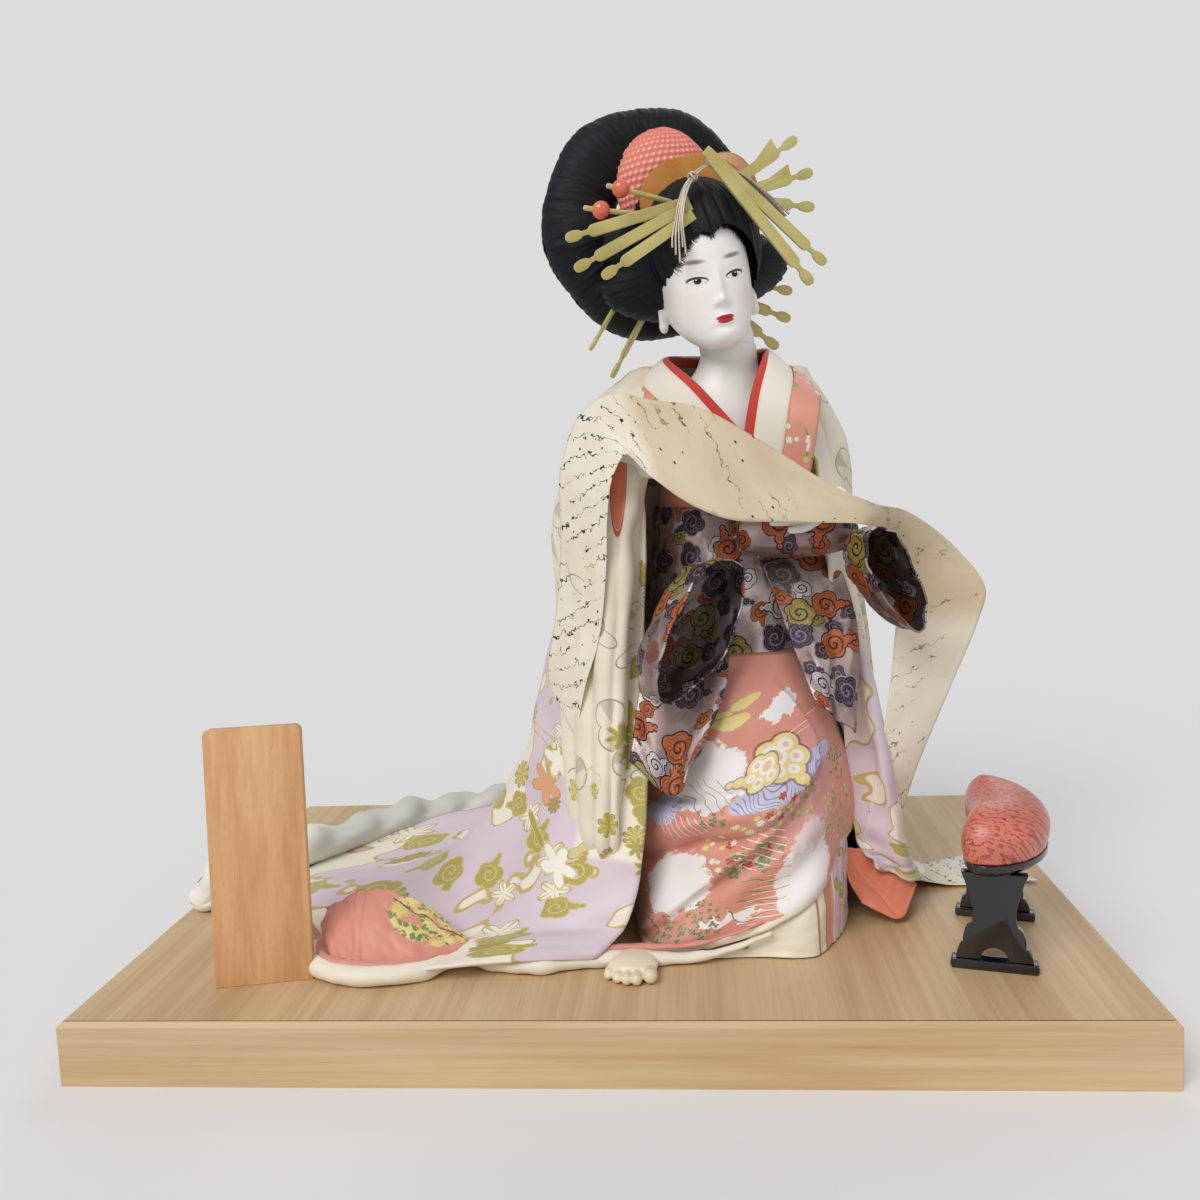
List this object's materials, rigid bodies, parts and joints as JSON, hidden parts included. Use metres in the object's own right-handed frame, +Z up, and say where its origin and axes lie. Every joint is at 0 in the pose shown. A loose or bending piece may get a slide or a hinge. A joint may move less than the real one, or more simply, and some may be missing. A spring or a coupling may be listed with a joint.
{
  "type": "costume doll on display stand",
  "caption": "Standing costume doll in layered robes and tall dressed hair holding a long letter, on a low veneered stand with a name board and a cushioned armrest.",
  "frame": {"origin": "centre of the stand's footprint, on the surface it rests on", "axes": "+X to the viewer's right along the stand's long side, +Y away from the viewer, +Z up"},
  "size_m": [0.6, 0.41, 0.5706],
  "materials": {
    "veneer": "satin",
    "cedar": "matte",
    "lacquer": "gloss",
    "cushion_brocade": "satin",
    "steel": "satin",
    "straw": "matte",
    "shell_white": "satin",
    "kimono_silk": "satin",
    "obi_brocade": "satin",
    "under_silk": "satin",
    "red_crepe": "matte",
    "white_crepe": "matte",
    "coral_silk": "satin",
    "letter_paper": "matte",
    "robe_cream": "satin",
    "robe_silk": "satin",
    "grey_crepe": "matte",
    "orange_lining": "satin",
    "hair": "satin",
    "coral_crepe": "matte",
    "amber_shell": "gloss",
    "silver_cord": "satin",
    "bead_coral": "gloss",
    "olive_shell": "gloss"
  },
  "bodies": {
    "stand": {"stand_top_panel": "veneer", "stand_rail_front": "veneer", "stand_rail_right": "veneer", "stand_rail_back": "veneer", "stand_rail_left": "veneer", "support_rod": "steel", "body_core": "straw", "bust": "shell_white", "hand_left": "shell_white", "hand_right": "shell_white", "foot": "shell_white", "kimono": "kimono_silk", "obi_band": "obi_brocade", "obi_knot": "obi_brocade", "obi_loop_left": "obi_brocade", "obi_loop_right": "obi_brocade", "obi_tail_left": "obi_brocade", "obi_tail_right": "obi_brocade", "under_layers": "under_silk", "red_collar": "red_crepe", "white_collar": "white_crepe", "robe_collar": "coral_silk", "letter": "letter_paper", "sleeve_left": "robe_cream", "sleeve_right": "robe_cream", "robe_body": "robe_silk", "robe_train": "robe_silk", "train_hem_roll": "grey_crepe", "white_hem": "white_crepe", "train_lining_corner": "orange_lining", "robe_lining_corner": "coral_silk"},
    "head": {"head": "shell_white", "hair_cap": "hair", "hair_loops": "hair", "crepe_ribbon": "coral_crepe", "comb_front": "amber_shell", "comb_back": "amber_shell", "hair_cord": "silver_cord", "pin_bead_1": "bead_coral", "pin_bead_2": "bead_coral", "pin_left_upper_1": "olive_shell", "pin_left_upper_2": "olive_shell", "pin_left_upper_3": "olive_shell", "pin_left_lower_1": "olive_shell", "pin_left_lower_2": "olive_shell", "pin_right_flag_1": "olive_shell", "pin_right_flag_2": "olive_shell", "pin_right_flat": "olive_shell", "pin_right_cross_1": "olive_shell", "pin_right_cross_2": "olive_shell", "pin_right_lower_1": "olive_shell", "pin_right_lower_2": "olive_shell", "pin_right_lower_3": "olive_shell"},
    "armrest": {"armrest_leg_front": "lacquer", "armrest_leg_back": "lacquer", "armrest_foot_front": "lacquer", "armrest_foot_back": "lacquer", "armrest_board": "lacquer", "armrest_cushion": "cushion_brocade"},
    "name_board": {"name_board": "cedar"}
  },
  "joints": [
    {"name": "head_turn", "type": "hinge", "parent": "stand", "child": "head", "pos_m": [0.088, -0.012, 0.372], "axis": [0, 0, 1], "range_deg": [-8, 8]},
    {"name": "armrest_lift", "type": "slide", "parent": "stand", "child": "armrest", "axis": [0, 0, 1], "range_m": [0, 0.05]},
    {"name": "name_board_lift", "type": "slide", "parent": "stand", "child": "name_board", "axis": [0, 0, 1], "range_m": [0, 0.15]}
  ]
}
